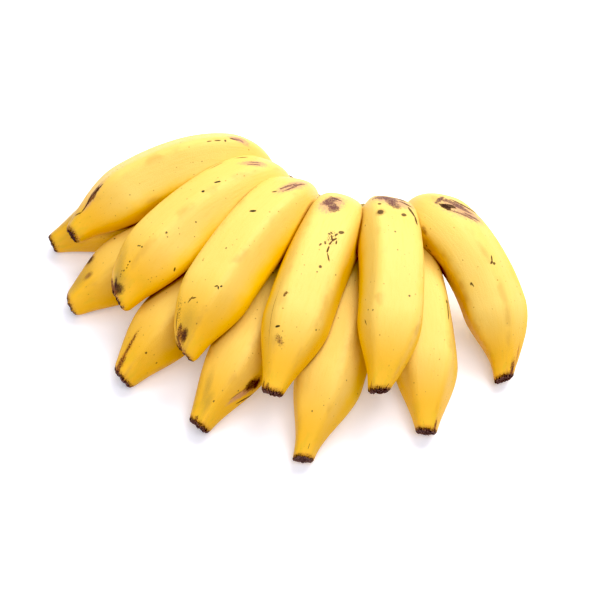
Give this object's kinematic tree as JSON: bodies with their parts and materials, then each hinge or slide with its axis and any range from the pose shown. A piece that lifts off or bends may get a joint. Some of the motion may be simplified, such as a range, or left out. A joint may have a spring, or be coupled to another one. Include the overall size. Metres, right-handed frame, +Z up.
{
  "type": "hand of bananas",
  "caption": "Hand of short plump bananas joined at the crown, fanned out in two rows and lying with the hollow side down.",
  "frame": {"origin": "under the middle of the hand's box, on the surface that it lies on", "axes": "+Z up, +X to the right across the fan of fingers, tips towards -Y and the crown at +Y"},
  "size_m": [0.2888, 0.2126, 0.0783],
  "materials": {
    "peel": "satin ripe yellow peel with brown specks, dark dried ends and a woody crown"
  },
  "bodies": {
    "root": {"banana_hand": "peel"}
  },
  "joints": []
}
